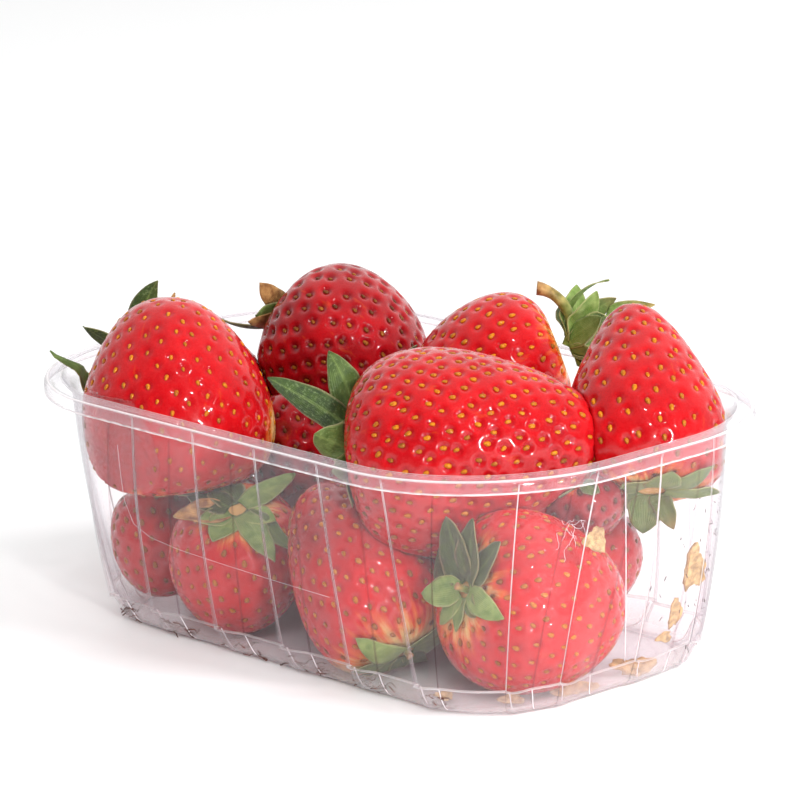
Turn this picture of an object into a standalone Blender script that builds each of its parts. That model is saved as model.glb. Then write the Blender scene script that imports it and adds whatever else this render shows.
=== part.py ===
"""A clear ribbed plastic punnet heaped with strawberries.

Metres, +Z up, +X along the punnet's long side, origin at the middle of the base it rests on.
Two sub-parts: the punnet, one thin formed shell, and the berries, one solid out to the heap's uneven outline.
"""

import math

import bmesh
import bpy
from mathutils import Matrix, Vector

MM = 0.001

# Punnet, sizes of its food side: the film's thickness is added on the other side.
FILM = 0.6 * MM
HALF_LENGTH = 95.0 * MM
HALF_WIDTH = 59.0 * MM
RIM_HEIGHT = 63.4 * MM
LIP_HEIGHT = 59.6 * MM          # lower edge of the rolled lip
WALL_TOP = 59.0 * MM
CREASE_HEIGHT = 7.2 * MM        # where the wall steps in to the foot
WALL_TOP_INSET = 7.4 * MM       # from the lip's outline to the wall, at its top
WALL_FOOT_INSET = 16.4 * MM     # and at the crease
WALL_BULGE = 0.4                # how much steeper the wall stands near its top than near its foot
STEP_IN = 0.7 * MM              # the ledge at the crease
LEDGE_FALL = 0.3 * MM
BASE_INSET = 21.4 * MM
WALL_BANDS = 3                  # rows of facets up the wall
RIM_CORNER = 46.2 * MM          # plan radius of the corners, at the lip
TOP_CORNER = 38.8 * MM          # at the top of the wall
FOOT_CORNER = 26.0 * MM         # at the crease
BASE_CORNER = 22.5 * MM

# Ribs: shallow ridges pressed outward, with one crisp edge each, deepest at the crease.
RIB_PITCH = 23.1 * MM
LONG_SIDE_RIBS = 6
LONG_SIDE_FIRST = -62.4 * MM    # the first crisp edge, along the wall from the middle of the long side
SHORT_SIDE_PITCH = 21.0 * MM
SHORT_SIDE_RIBS = 4
SHORT_SIDE_FIRST = 88.0 * MM
RIB_LEAN = -3.5 * MM            # how far a rib's foot stands along the outline from its top
RIB_DEPTH_FOOT = 1.9 * MM
RIB_DEPTH_TOP = 0.3 * MM
RIB_SHARE_FOOT = 0.42           # a rib's width, as a share of the pitch
RIB_SHARE_TOP = 0.62
RIB_STEP = 0.05                 # the crisp edge's width, as a share of the pitch
RIB_CREST = 0.22                # where the ridge is highest
FILL_SPACING = 6.5 * MM         # longest plain stretch between two stations of the outline

# Foot: the base rounds up to the foot of the wall, which its flutes press into.
FOOT_ROUND = 1.5 * MM
FOOT_SPREAD = 2.4 * MM
FLUTE_DEPTH_BASE = 0.8 * MM
FLUTE_DEPTH_TOP = 1.3 * MM

# Rolled rim: (below the rim's top, in from the lip's outline) of each ring, from the wall to the lip.
RIM_ROLL = (
    (1.6 * MM, 5.4 * MM),
    (0.0, 4.1 * MM),
    (0.8 * MM, 2.7 * MM),
    (0.8 * MM, 1.2 * MM),
    (2.0 * MM, 0.1 * MM),
)

# Heap of berries.
CLEARANCE = 0.35 * MM           # between the heap and the film
HEAP_CEILING = 96.0 * MM        # above every berry
CAVITY_SIDES = 72
TURNS = 20                      # facets round a berry
PROFILE_STEPS = 12
STEM_ROUNDNESS = 0.60           # a low value gives square shoulders
TIP_ROUNDNESS = 0.80
CALYX_RADIUS = 9.0 * MM
CALYX_THICKNESS = 5.0 * MM
VOXEL = 2.4 * MM
KEEP_FACES = 0.14               # share of the faces left after thinning

# Each berry: centre (mm), the way it points from stem to tip, length, width (mm), taper.
BERRIES = {
    "front": ((36.0, -4.0, 54.5), (0.79, 0.59, 0.13), 63.0, 52.0, 0.38),
    "left": ((-47.5, -31.0, 60.0), (-0.10, 0.06, 0.99), 49.0, 49.0, 0.30),
    "back_left": ((-46.5, 26.0, 57.5), (0.86, 0.21, -0.46), 43.0, 43.5, 0.19),
    "back_right": ((-0.5, 33.0, 60.5), (-0.58, -0.77, -0.28), 37.0, 38.5, 0.20),
    "right": ((55.5, 31.5, 64.2), (-0.46, 0.32, 0.83), 50.0, 40.0, 0.44),
    "low_front": ((61.0, -10.0, 21.5), (0.23, 0.92, -0.33), 44.0, 45.0, 0.20),
    "low_middle": ((13.5, -25.5, 24.0), (-0.68, -0.01, 0.74), 49.0, 37.0, 0.30),
    "low_left": ((-30.5, -27.5, 18.8), (-0.38, 0.28, -0.88), 36.5, 35.0, 0.08),
    "low_end": ((-59.5, -27.0, 19.0), (0.34, -0.05, -0.94), 29.0, 27.0, 0.08),
    "low_back_end": ((-67.0, -3.0, 18.5), (0.0, 0.71, -0.71), 32.0, 28.0, 0.15),
    "low_behind": ((45.0, 18.5, 23.0), (0.50, 0.75, 0.45), 33.0, 30.0, 0.14),
    "hidden_end": ((-69.0, -3.0, 50.0), (0.66, 0.59, -0.42), 36.0, 34.0, 0.20),
    "hidden_corner": ((-56.0, 25.0, 20.5), (-0.38, 0.77, 0.51), 42.0, 38.0, 0.20),
    "hidden_back": ((-19.5, 27.5, 27.5), (0.91, 0.34, 0.23), 44.0, 39.0, 0.20),
    "hidden_middle": ((14.5, 24.0, 20.5), (0.53, -0.84, -0.11), 42.0, 38.0, 0.20),
}

# Lumps that close the gaps inside the heap: centre and half sizes (mm).
CORE = (
    ((-30.0, 2.0, 26.0), (46.0, 30.0, 22.0)),
    ((22.0, 6.0, 28.0), (42.0, 26.0, 22.0)),
    ((-40.0, 0.0, 46.0), (34.0, 26.0, 18.0)),
)

PLASTIC_COLOUR = (0.90, 0.93, 0.94, 0.30)
PLASTIC_ROUGHNESS = 0.08
PLASTIC_CLEARNESS = 0.6
BERRY_COLOUR = (0.70, 0.02, 0.03, 1.0)
BERRY_ROUGHNESS = 0.35


def clear_scene():
    for obj in list(bpy.data.objects):
        bpy.data.objects.remove(obj, do_unlink=True)


def new_collection(name, hidden=False):
    group = bpy.data.collections.new(name)
    bpy.context.scene.collection.children.link(group)
    group.hide_render = hidden
    return group


def new_material(name, colour, roughness, transmission=0.0):
    mat = bpy.data.materials.new(name)
    mat.use_nodes = True
    shader = mat.node_tree.nodes["Principled BSDF"]
    shader.inputs["Base Color"].default_value = colour[:3] + (1.0,)
    shader.inputs["Alpha"].default_value = colour[3]
    shader.inputs["Roughness"].default_value = roughness
    shader.inputs["Metallic"].default_value = 0.0
    shader.inputs["Transmission Weight"].default_value = transmission
    mat.diffuse_color = colour
    return mat


def object_from(name, bm, group, mat=None):
    mesh = bpy.data.meshes.new(name)
    bm.to_mesh(mesh)
    bm.free()
    obj = bpy.data.objects.new(name, mesh)
    group.objects.link(obj)
    if mat:
        mesh.materials.append(mat)
    return obj


# The outline of the punnet in plan is measured along the top of its wall, from the middle of the near long side.
STRAIGHT_LONG = 2 * (HALF_LENGTH - WALL_TOP_INSET - TOP_CORNER)
STRAIGHT_SHORT = 2 * (HALF_WIDTH - WALL_TOP_INSET - TOP_CORNER)
ARC = TOP_CORNER * math.pi / 2
HALF_ROUND = STRAIGHT_LONG + STRAIGHT_SHORT + 2 * ARC


def outline_point(along, inset, corner, push=0.0):
    """A plan point: `along` the outline, on the rounded rectangle `inset` from the lip, pushed out by `push`."""
    along = (along + STRAIGHT_LONG / 2) % (2 * HALF_ROUND)
    turned = along >= HALF_ROUND
    along -= HALF_ROUND if turned else 0.0
    reach_x = HALF_LENGTH - inset - corner
    reach_y = HALF_WIDTH - inset - corner
    if along < STRAIGHT_LONG:
        share = along / STRAIGHT_LONG
        point = Vector((reach_x * (2 * share - 1), -reach_y - corner - push))
    elif along < STRAIGHT_LONG + ARC:
        angle = (along - STRAIGHT_LONG) / TOP_CORNER
        out = Vector((math.sin(angle), -math.cos(angle)))
        point = Vector((reach_x, -reach_y)) + out * (corner + push)
    elif along < STRAIGHT_LONG + ARC + STRAIGHT_SHORT:
        share = (along - STRAIGHT_LONG - ARC) / STRAIGHT_SHORT
        point = Vector((reach_x + corner + push, reach_y * (2 * share - 1)))
    else:
        angle = (along - STRAIGHT_LONG - ARC - STRAIGHT_SHORT) / TOP_CORNER
        out = Vector((math.cos(angle), math.sin(angle)))
        point = Vector((reach_x, reach_y)) + out * (corner + push)
    return -point if turned else point


def rib_starts():
    """Where each rib's crisp edge stands along the outline. The far half is the near half turned half round."""
    half = [LONG_SIDE_FIRST + i * RIB_PITCH for i in range(LONG_SIDE_RIBS)]
    half += [SHORT_SIDE_FIRST + i * SHORT_SIDE_PITCH for i in range(SHORT_SIDE_RIBS)]
    return half + [start + HALF_ROUND for start in half]


def rib_width(height_share):
    return RIB_PITCH * (RIB_SHARE_FOOT + (RIB_SHARE_TOP - RIB_SHARE_FOOT) * height_share)


def stations():
    """(along, share of the rib's width added to it, share of the rib's depth) for each point of a ring."""
    starts = rib_starts()
    found = []
    for i, start in enumerate(starts):
        following = starts[i + 1] if i + 1 < len(starts) else starts[0] + 2 * HALF_ROUND
        found.append((start, 0.0, 0.0))
        found.append((start + RIB_STEP * RIB_PITCH, 0.0, 0.8))
        found.append((start + RIB_CREST * RIB_PITCH, 0.0, 1.0))
        found.append((start, 1.0, 0.0))
        plain_from = start + rib_width(1.0)
        fills = int((following - plain_from) / FILL_SPACING)
        for k in range(fills):
            found.append((plain_from + (following - plain_from) * (k + 1) / (fills + 1), 0.0, 0.0))
    return found


def wall_row(height_share):
    """A ring of the wall, from 0 at the crease to 1 at its top."""
    height = CREASE_HEIGHT + (WALL_TOP - CREASE_HEIGHT) * height_share
    rise = height_share * (1 + WALL_BULGE * (1 - height_share))
    inset = WALL_FOOT_INSET + (WALL_TOP_INSET - WALL_FOOT_INSET) * rise
    corner = FOOT_CORNER + (TOP_CORNER - FOOT_CORNER) * height_share
    depth = RIB_DEPTH_FOOT + (RIB_DEPTH_TOP - RIB_DEPTH_FOOT) * height_share
    return height, inset, corner, depth, height_share


def punnet_rows():
    """(height, inset, corner radius, rib depth, height share) of each ring, from the base to the lip's edge."""
    foot_inset = WALL_FOOT_INSET + STEP_IN
    rows = [
        (FILM, BASE_INSET, BASE_CORNER, 0.0, 0.0),
        (FILM + FOOT_ROUND, BASE_INSET - FOOT_SPREAD, BASE_CORNER + FOOT_ROUND, FLUTE_DEPTH_BASE, 0.0),
        (CREASE_HEIGHT - LEDGE_FALL, foot_inset, FOOT_CORNER - STEP_IN, FLUTE_DEPTH_TOP, 0.0),
    ]
    rows += [wall_row(i / WALL_BANDS) for i in range(WALL_BANDS + 1)]
    rim = [(RIM_HEIGHT - below, inset) for below, inset in RIM_ROLL] + [(LIP_HEIGHT, 0.0)]
    rows += [(height, inset, RIM_CORNER - inset, 0.0, 1.0) for height, inset in rim]
    return rows


def loft(rings):
    """A surface through closed rings of equally many points, its first ring filled by one flat face."""
    bm = bmesh.new()
    rows = [[bm.verts.new(point) for point in ring] for ring in rings]
    for lower, upper in zip(rows, rows[1:]):
        for i in range(len(lower)):
            j = (i + 1) % len(lower)
            bm.faces.new((lower[j], lower[i], upper[i], upper[j]))
    bm.faces.new(rows[0])
    return bm, rows


def make_punnet(group):
    points = stations()
    rings = []
    for height, inset, corner, depth, share in punnet_rows():
        ring = []
        for along, grow, lift in points:
            shift = grow * rib_width(share) + RIB_LEAN * (1 - share)
            plan = outline_point(along + shift, inset, corner, depth * lift)
            ring.append((plan.x, plan.y, height))
        rings.append(ring)
    bm, _ = loft(rings)
    mat = new_material("clear_plastic", PLASTIC_COLOUR, PLASTIC_ROUGHNESS, PLASTIC_CLEARNESS)
    punnet = object_from("punnet", bm, group, mat)
    film = punnet.modifiers.new("film", "SOLIDIFY")
    film.thickness = FILM
    film.offset = -1.0
    film.use_even_offset = True
    return punnet


def make_cavity(group):
    """The space that the berries may fill: inside the film, clear of it, and open above the rim."""
    rows = [
        (FILM + CLEARANCE, BASE_INSET, BASE_CORNER),
        (CREASE_HEIGHT, WALL_FOOT_INSET + STEP_IN, FOOT_CORNER - STEP_IN),
    ]
    rows += [wall_row(i / WALL_BANDS)[:3] for i in range(1, WALL_BANDS + 1)]
    rows.append((HEAP_CEILING, WALL_TOP_INSET, TOP_CORNER))
    rings = []
    for height, inset, corner in rows:
        ring = []
        for i in range(CAVITY_SIDES):
            along = 2 * HALF_ROUND * i / CAVITY_SIDES
            plan = outline_point(along, inset + CLEARANCE, corner - CLEARANCE)
            ring.append((plan.x, plan.y, height))
        rings.append(ring)
    bm, made = loft(rings)
    bm.faces.new(made[-1])
    bmesh.ops.recalc_face_normals(bm, faces=bm.faces)
    cavity = object_from("cavity", bm, group)
    cavity.display_type = "WIRE"
    cavity.hide_render = True
    return cavity


def berry_profile(length, width, taper):
    """(radius, distance along the axis) from the stem end to the tip, with the middle of the length at 0."""
    shape = []
    for i in range(PROFILE_STEPS + 1):
        share = i / PROFILE_STEPS
        angle = math.pi * share
        roundness = STEM_ROUNDNESS + (TIP_ROUNDNESS - STEM_ROUNDNESS) * share
        radius = max(math.sin(angle), 0.0) ** roundness * (1 + taper * math.cos(angle))
        shape.append((radius, -math.cos(angle) * length / 2))
    widest = max(radius for radius, _ in shape)
    return [(radius / widest * width / 2, along) for radius, along in shape]


def berry_mesh(centre, points_to, length, width, taper):
    """A turned berry with the low button of its calyx, in place."""
    bm = bmesh.new()
    verts = [bm.verts.new((radius, 0.0, along)) for radius, along in berry_profile(length * MM, width * MM, taper)]
    edges = [bm.edges.new(pair) for pair in zip(verts, verts[1:])]
    bmesh.ops.spin(bm, geom=verts + edges, axis=(0, 0, 1), angle=2 * math.pi, steps=TURNS, use_merge=True)
    bmesh.ops.remove_doubles(bm, verts=bm.verts, dist=0.01 * MM)
    squash = Matrix.Diagonal((CALYX_RADIUS, CALYX_RADIUS, CALYX_THICKNESS, 1.0))
    button = Matrix.Translation((0, 0, -length * MM / 2)) @ squash
    bmesh.ops.create_uvsphere(bm, u_segments=12, v_segments=8, radius=1.0, matrix=button)
    turn = Vector(points_to).to_track_quat("Z", "X").to_matrix().to_4x4()
    bmesh.ops.transform(bm, matrix=Matrix.Translation(Vector(centre) * MM) @ turn, verts=bm.verts)
    mesh = bpy.data.meshes.new("berry")
    bm.to_mesh(mesh)
    bm.free()
    return mesh


def make_berries(group, cavity):
    bm = bmesh.new()
    for berry in BERRIES.values():
        mesh = berry_mesh(*berry)
        bm.from_mesh(mesh)
        bpy.data.meshes.remove(mesh)
    for centre, half_sizes in CORE:
        lump = Matrix.Translation(Vector(centre) * MM) @ Matrix.Diagonal((*(Vector(half_sizes) * MM), 1.0))
        bmesh.ops.create_uvsphere(bm, u_segments=16, v_segments=10, radius=1.0, matrix=lump)
    bmesh.ops.recalc_face_normals(bm, faces=bm.faces)
    mat = new_material("berry_red", BERRY_COLOUR, BERRY_ROUGHNESS)
    berries = object_from("berries", bm, group, mat)
    skin = berries.modifiers.new("one_skin", "REMESH")
    skin.mode = "VOXEL"
    skin.voxel_size = VOXEL
    thin = berries.modifiers.new("thin_out", "DECIMATE")
    thin.ratio = KEEP_FACES
    fit = berries.modifiers.new("inside_punnet", "BOOLEAN")
    fit.operation = "INTERSECT"
    fit.solver = "EXACT"
    fit.object = cavity
    return berries


def main():
    clear_scene()
    parts = new_collection("punnet_of_strawberries")
    cutters = new_collection("cutters", hidden=True)
    make_punnet(parts)
    make_berries(parts, make_cavity(cutters))


main()
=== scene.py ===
"""The punnet of strawberries, finished: a clear ribbed punnet and its berries, one by one. Metres, +Z up."""

from math import cos, pi, radians, sin, sqrt

import bmesh
import bpy
import numpy as np
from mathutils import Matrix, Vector
from numpy.linalg import norm


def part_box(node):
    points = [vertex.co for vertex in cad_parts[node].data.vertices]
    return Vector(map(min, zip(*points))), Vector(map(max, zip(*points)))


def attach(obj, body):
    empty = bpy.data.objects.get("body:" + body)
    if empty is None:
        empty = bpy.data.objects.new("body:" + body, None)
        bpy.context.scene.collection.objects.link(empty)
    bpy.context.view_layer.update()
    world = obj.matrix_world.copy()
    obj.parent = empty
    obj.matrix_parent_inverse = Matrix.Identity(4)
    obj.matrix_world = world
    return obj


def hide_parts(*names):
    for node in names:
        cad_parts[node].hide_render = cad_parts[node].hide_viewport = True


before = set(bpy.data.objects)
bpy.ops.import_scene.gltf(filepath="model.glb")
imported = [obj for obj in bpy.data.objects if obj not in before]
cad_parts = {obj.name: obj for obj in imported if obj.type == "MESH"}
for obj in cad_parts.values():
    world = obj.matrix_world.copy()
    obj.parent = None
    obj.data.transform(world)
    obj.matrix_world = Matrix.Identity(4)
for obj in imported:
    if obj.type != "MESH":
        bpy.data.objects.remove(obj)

MM = 0.001
GOLDEN = pi * (3 - sqrt(5))
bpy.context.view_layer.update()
HALF_LENGTH, HALF_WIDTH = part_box("punnet")[1][0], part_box("punnet")[1][1]
RIM_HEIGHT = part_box("punnet")[1][2]
scene = bpy.context.scene

# The punnet's own sizes, as the CAD has them.
FILM = 0.35 * MM
WALL_TOP = 59.0 * MM
CREASE_HEIGHT = 7.2 * MM
WALL_TOP_INSET = 7.4 * MM
WALL_FOOT_INSET = 16.4 * MM
WALL_BULGE = 0.4
STEP_IN = 0.7 * MM
BASE_INSET = 21.4 * MM
RIM_CORNER = 46.2 * MM
TOP_CORNER = 38.8 * MM
FOOT_CORNER = 26.0 * MM
BASE_CORNER = 22.5 * MM
RIB_PITCH = 23.1 * MM
RIB_LEAN = -3.5 * MM
RIB_DEPTH = (1.9 * MM, 0.3 * MM)
RIB_SHARE = (0.42, 0.62)

# Each berry: centre (mm), the way it points from stem to tip, length, width (mm), taper,
# seed spacing (mm), dimple depth (mm), darkness (partly the berry's own deeper red, partly painted shade
# on the berries deep in the heap), pale shoulder (share of the length), facet size (mm).
BERRIES = {
    "front": ((36, -4, 54.5), (0.79, 0.59, 0.13), 63, 52, 0.38, 4.25, 0.62, 0.33, 0.02, 0.42),
    "left": ((-47.5, -31, 60), (-0.1, 0.06, 0.99), 49, 49, 0.3, 4.6, 0.34, 0.3, 0.16, 0.48),
    "back_left": ((-46.5, 26, 57.5), (0.86, 0.21, -0.46), 43, 43.5, 0.19, 4.7, 0.9, 0.78, 0.03, 0.48),
    "back_right": ((-0.5, 33, 60.5), (-0.58, -0.77, -0.28), 37, 38.5, 0.2, 4.7, 0.55, 0.2, 0.2, 0.5),
    "right": ((55.5, 31.5, 64.2), (-0.46, 0.32, 0.83), 50, 40, 0.42, 5.1, 0.62, 0.33, 0.12, 0.45),
    "low_front": ((61, -10, 21.5), (0.23, 0.92, -0.33), 44, 45, 0.2, 4.6, 0.55, 0, 0.16, 0.5),
    "low_middle": ((13.5, -25.5, 24), (-0.68, -0.01, 0.74), 49, 37, 0.3, 4.4, 0.6, 0, 0.22, 0.5),
    "low_left": ((-30.5, -27.5, 18.8), (-0.38, 0.28, -0.88), 36.5, 35, 0.08, 4.6, 0.6, 0, 0.16, 0.55),
    "low_end": ((-59.5, -27, 19), (0.34, -0.05, -0.94), 29, 27, 0.08, 4.2, 0.5, 0.3, 0.05, 0.7),
    "low_back_end": ((-67, -3, 18.5), (0, 0.71, -0.71), 32, 28, 0.15, 4.4, 0.5, 0.1, 0.05, 0.9),
    "low_behind": ((45, 18.5, 23), (0.5, 0.75, 0.45), 33, 30, 0.14, 4.4, 0.5, 0.4, 0.05, 0.9),
    "deep_left": ((-37, 0, 40.5), (0.5, -0.3, -0.8), 29, 27, 0.12, 4.4, 0.8, 1, 0.03, 0.6),
    "deep_right": ((54, 12, 42), (-0.5, 0.6, -0.6), 24, 22, 0.12, 4.4, 0.6, 0.9, 0.03, 0.6),
    "hidden_end": ((-69, -3, 50), (0.66, 0.59, -0.42), 36, 34, 0.2, 4.6, 0.5, 0.1, 0.08, 0.9),
    "hidden_corner": ((-56, 25, 20.5), (-0.38, 0.77, 0.51), 42, 38, 0.2, 4.7, 0.5, 0.1, 0.1, 0.9),
    "hidden_back": ((-19.5, 27.5, 27.5), (0.91, 0.34, 0.23), 44, 39, 0.2, 4.7, 0.5, 0.1, 0.1, 0.9),
    "hidden_middle": ((14.5, 24, 20.5), (0.53, -0.84, -0.11), 42, 38, 0.2, 4.7, 0.5, 0.1, 0.1, 0.9),
}
UPPER_BERRIES = 5                # the first five stand above the rim


def small_leaves(lengths, width, first_turn=0):
    """Rows of a short calyx that its berry hides: leaves evenly round the stem."""
    step = 360 / len(lengths)
    return tuple((first_turn + step * i, length, width, 5, 10, 0.1, 0.2) for i, length in enumerate(lengths))


# The leaves of each calyx: turn round the stem (deg), length, width (mm), rise off the shoulder, curl (deg),
# lightness (partly the leaf's own paler green, partly painted light and shade: lighter on leaves that catch
# the light, darker on leaves in shadow), dryness, and sway and roll (deg) where it has any. A berry that isn't listed
# gets leaves at random.
LEAVES = {
    "left": small_leaves((9, 8, 9, 8, 9, 8), 6, 10),
    "low_end": small_leaves((6, 6, 6), 4),
    "deep_right": small_leaves((5, 5, 5), 4),
    "deep_left": small_leaves((7, 7, 7), 5),
    "front": (
        (350, 21, 10, 5, 20, 0.12, 0.25, 0, 65), (5, 26, 8, 47, 6, 0, 0.3, 0, 75),
        (322, 26, 5, -10, -50, 0, 0.3, 22, 30), (50, 13, 11, 40, -8, 0.28, 0.35, 0, 60), (80, 9, 7, 20, 20, 0.2, 0.1),
        (110, 9, 7, 0, 0, 0.1, 0.1), (160, 9, 7, 0, 10, 0.1, 0.1), (210, 12, 7, 0, 10, 0.1, 0.2),
        (262, 18, 7, 0, 10, 0.1, 0.2),
    ),
    "back_right": (
        (8, 16, 7, 60, 25, 0.35, 0.5, 0, 70), (2, 24, 6, 75, 30, 0.55, 0.62, 0, 70),
        (35, 14, 9, 42, -24, 0.75, 0.1, 0, 50), (355, 14, 9, 62, -20, 0.8, 0.15, 0, 60),
        (52, 12, 8.5, 30, -30, 0.35, 0.2, 0, 50), (70, 13, 9, 60, -40, 0.65, 0.1, 0, 30),
        (100, 12, 8, 60, -30, 0.7, 0.2), (140, 12, 7, 60, -30, 0.5, 0.4), (190, 10, 6.5, 50, 0, 0.4, 0.2),
        (240, 10, 6.5, 50, 0, 0.4, 0.2), (310, 12, 7, 55, 0, 0.5, 0.2), (15, 20, 1.2, 10, 95, 0.5, 0.2, 0, 60),
    ),
    "right": (
        (185, 14, 10, 32, 0, 0.45, 0.1), (150, 12, 6, 45, 0, 0.4, 0.6), (97, 15, 6, 10, 0, 0.55, 0.1, 0, 25),
        (52, 15, 7, 0, 0, 0.45, 0.1), (15, 10, 9, 5, 0, 0.5, 0.2), (315, 9, 10, 15, 0, 0.45, 0.1),
        (235, 10, 9, 20, 0, 0.3, 0.1),
    ),
    "low_front": (
        (250, 13, 8, 20, -8, 0.7, 0.1), (98, 15, 6.5, 0, -20, 0.8, 0.05, 3, 0), (42, 18, 8, 4, 6, 0.1, 0.1),
        (290, 16, 12, 8, -14, 0, 0.1), (325, 17, 12, 15, 0, 0, 0.1), (5, 16, 12, 15, 0, 0.05, 0.1),
        (120, 8, 5, 10, -10, 0.4, 0.6), (170, 8, 5, 10, -20, 0.5, 0.2), (210, 10, 6, 10, -10, 0.6, 0.3),
    ),
    "low_middle": (
        (288, 16, 7, -8, -14, 0.95, 0.05), (90, 13, 6.5, -2, -36, 0.7, 0.1), (60, 12, 6, 10, -20, 0.5, 0.2),
        (130, 13, 6, 10, 10, 0.25, 0.2), (175, 13, 6, 15, 10, 0.1, 0.3), (215, 12, 6, 10, 0, 0.2, 0.3),
        (250, 13, 6, 5, -10, 0.3, 0.3), (20, 10, 5, 10, -10, 0.5, 0.4),
    ),
    "low_left": (
        (265, 14, 9, 5, 0, 0.5, 1), (55, 17, 7, 5, 0, 0.6, 0.1), (122, 9, 7.5, 10, 0, 0.9, 0.1),
        (155, 18, 7, 0, 0, 0.6, 0.1, 5, 0), (135, 17, 6, -5, 0, 0.2, 0.1), (215, 10, 8.5, 0, 0, 0.6, 0.2),
        (245, 9, 7, 10, 0, 0.6, 0.3), (300, 12, 9, 5, 0, 0, 0.2), (340, 12, 10, 5, 0, 0, 0.2),
    ),
    "back_left": (
        (49, 14, 6.5, 28, 0, 0.5, 1), (79, 12, 8, 18, -8, 0.35, 0.1), (89, 14, 5, 12, 0, 0.4, 0.95, -6, 0),
        (131, 19, 4, 28, 60, 0.1, 0.1, 0, 20), (10, 9, 6, 10, 0, 0.2, 0.2), (180, 14, 6, 10, 0, 0.2, 0.2),
        (230, 14, 6, 5, 0, 0.2, 0.2), (280, 12, 6, 5, 0, 0.2, 0.2), (325, 9, 6, 5, 0, 0.2, 0.2),
    ),
    "hidden_end": (
        (160, 34, 9, 35, 20, 0.25, 0.35, -160, 20), (60, 23, 6, 50, 10, 0.05, 0.2, 0, 60),
        (0, 23, 9, 50, -65, 0.05, 0.4, 0, 80), (340, 19, 4, 5, 0, 0.2, 0.8, 0, 80), (120, 10, 6, 20, 0, 0.2, 0.2),
        (200, 10, 6, 20, 0, 0.2, 0.2), (280, 10, 6, 20, 0, 0.2, 0.2),
    ),
}
# How far from the stem the leaves start (mm).
RING = {"front": 8.0, "right": 3.0, "back_right": 2.5}
# How far a calyx stands off its berry (mm).
NECK = {"back_right": 3.5}
# Stems that show: length, thickness at the berry and at the cut (mm), lean off the axis, turn (deg).
STEMS = {
    "back_right": (19.0, 2.4, 3.4, 120, 10),
    "low_front": (3.5, 1.8, 1.9, 10, 0),
    "low_middle": (3.5, 1.8, 1.9, 10, 0),
}
# Unripe patches off the shoulder: which way they face, half their width (rad).
BLUSH = {"left": ((0.68, 0.63, -0.38), 0.28), "low_middle": ((0.30, -0.35, -0.85), 0.30)}
# Lumps that fill the middle of the heap, under the berries, coloured near-black red as painted shade in the gaps
# between them: centre, half sizes (mm).
CORE = (
    ((-30.0, 2.0, 26.0), (22.0, 14.0, 10.0)),
    ((22.0, 6.0, 28.0), (20.0, 12.0, 10.0)),
    ((0.0, -2.0, 36.0), (14.0, 12.0, 10.0)),
)
# Berries with small seeds.
SEED_SCALE = {"left": 0.80, "back_left": 0.80, "deep_left": 0.80}
# How much painted shadow darkens some berries toward the tip, where a berry above shades them.
PAINTED_TIP_SHADOW = {"low_middle": 0.6}
STEM_ROUNDNESS = 0.60
TIP_ROUNDNESS = 0.80
PRESS_GAP = 0.25 * MM            # left between two skins that press on each other
HOLE_RADIUS = 1.30 * MM          # of the steep part of a seed's dimple
PIT_SHADE_RADIUS = 1.45 * MM           # of the painted shade in a dimple
LEAF_THICKNESS = 0.28 * MM
HUSK_THICKNESS = 0.35 * MM
FRUIT = ("berry_red", "berries")        # slot, and the CAD node that a piece stands for
TRAY = ("clear_plastic", "punnet")


def between(pair, share):
    return pair[0] + (pair[1] - pair[0]) * share


def wall_share(height):
    """Height as a share of the wall's, from the crease to its top."""
    return (height - CREASE_HEIGHT) / (WALL_TOP - CREASE_HEIGHT)


def wall_section(share):
    """The wall's inset and its corner's plan radius at a share of its height."""
    rise = share * (1 + WALL_BULGE * (1 - share))
    return between((WALL_FOOT_INSET, WALL_TOP_INSET), rise), between((FOOT_CORNER, TOP_CORNER), share)


# ---------------------------------------------------------------- materials


class Net:
    """The nodes of a material, or of the world, built by short calls."""

    def __init__(self, name, kind="Material"):
        library = bpy.data.worlds if kind == "World" else bpy.data.materials
        self.owner = library.new(name)
        self.owner.use_nodes = True
        self.tree = self.owner.node_tree
        self.tree.nodes.clear()
        self.out = self.node("Output" + kind)

    def put(self, socket, value):
        if isinstance(value, bpy.types.NodeSocket):
            self.tree.links.new(value, socket)
        elif isinstance(value, tuple) and len(value) == 3 and socket.type == "RGBA":
            socket.default_value = value + (1.0,)
        else:
            socket.default_value = value

    def node(self, kind, inputs=(), **settings):
        node = self.tree.nodes.new("ShaderNode" + kind)
        for key, value in settings.items():
            setattr(node, key, value)
        for key, value in dict(inputs).items():
            self.put(node.inputs[key], value)
        return node

    def attr(self, name, output="Fac"):
        return self.node("Attribute", attribute_name=name).outputs[output]

    def coords(self, stretch=(1.0, 1.0, 1.0)):
        place = self.node("TexCoord").outputs["Object"]
        return self.node("Mapping", {"Vector": place, "Scale": stretch}).outputs["Vector"]

    def noise(self, scale, detail=3.0, vector=None):
        inputs = {"Scale": scale, "Detail": detail, "Roughness": 0.55}
        inputs["Vector"] = vector or self.coords()
        return self.node("TexNoise", inputs).outputs["Fac"]

    def fit(self, value, low, high, to_low=0.0, to_high=1.0):
        inputs = {"Value": value, "From Min": low, "From Max": high, "To Min": to_low, "To Max": to_high}
        return self.node("MapRange", inputs).outputs["Result"]

    def math(self, operation, a, b=0.0):
        return self.node("Math", {0: a, 1: b}, operation=operation, use_clamp=True).outputs[0]

    def mix(self, share, a, b):
        return self.node("Mix", {0: share, 6: a, 7: b}, data_type="RGBA").outputs[2]

    def bump(self, height, distance, strength):
        return self.node("Bump", {"Height": height, "Distance": distance, "Strength": strength}).outputs["Normal"]

    def blend(self, share, a, b):
        return self.node("MixShader", {0: share, 1: a, 2: b}).outputs[0]

    def done(self, shader):
        self.tree.links.new(shader, self.out.inputs["Surface"])
        return self.owner

    def mottle(self, value, a, b, low=0.3, high=0.7):
        """One colour that turns into another where value rises."""
        return self.mix(self.fit(value, low, high), a, b)

    def principled(self, inputs):
        return self.done(self.node("BsdfPrincipled", inputs).outputs[0])


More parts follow.
